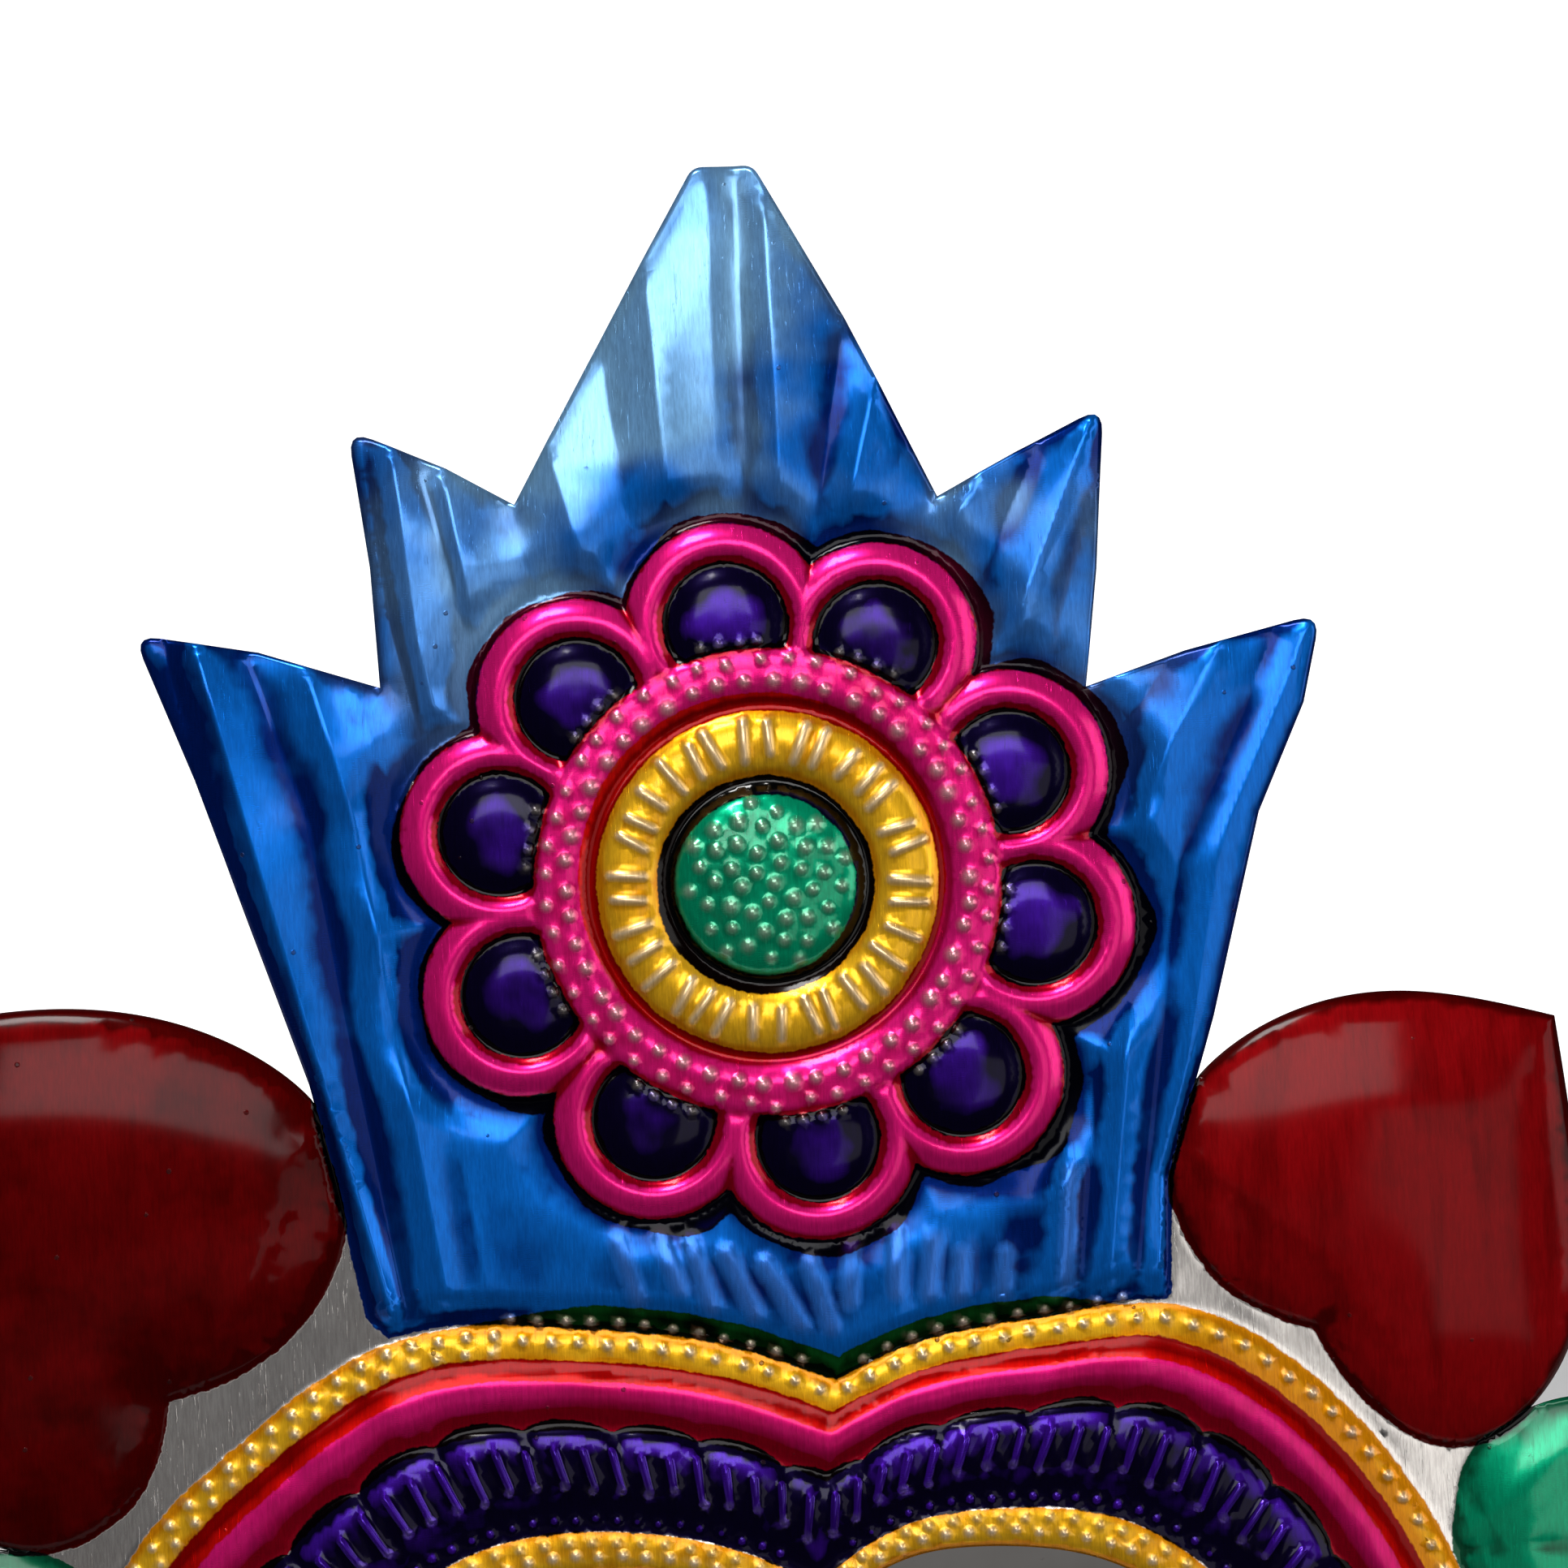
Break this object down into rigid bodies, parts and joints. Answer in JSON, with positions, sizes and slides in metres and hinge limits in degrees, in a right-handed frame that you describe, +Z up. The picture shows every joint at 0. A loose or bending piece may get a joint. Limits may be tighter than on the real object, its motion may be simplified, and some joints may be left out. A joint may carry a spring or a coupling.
{
  "type": "crowned heart wall mirror",
  "caption": "Heart-shaped wall mirror in chased and lacquered tin, under a pointed crown with a flower, edged with red lobes and leaves, hung by a wire ring.",
  "frame": {"origin": "centre line of the back tray's rear face, on the wall", "axes": "+Z up, +Y towards the wall, front facing -Y, +X to the right of someone facing the mirror"},
  "size_m": [0.2657, 0.0094, 0.3187],
  "materials": {
    "lacquered_tin": "gloss",
    "mirror": "polished",
    "card": "matte",
    "tinplate": "satin",
    "solder": "satin",
    "wire": "satin"
  },
  "bodies": {
    "plaque": {"front_sheet": "lacquered_tin", "mirror_glass": "mirror", "backing_card": "card", "back_tray": "tinplate", "retaining_clip_1": "tinplate", "retaining_clip_2": "tinplate", "retaining_clip_3": "tinplate", "retaining_clip_4": "tinplate", "retaining_clip_5": "tinplate", "retaining_clip_6": "tinplate", "retaining_clip_7": "tinplate", "retaining_clip_8": "tinplate", "clip_solder": "solder", "hanger_strap": "tinplate", "hanger_solder": "solder"},
    "ring": {"hanger_ring": "wire"}
  },
  "joints": [
    {"name": "ring_swing", "type": "hinge", "parent": "plaque", "child": "ring", "pos_m": [-0.004, -0.0026, 0.19], "axis": [1, 0, 0], "range_deg": [0, 180]}
  ]
}
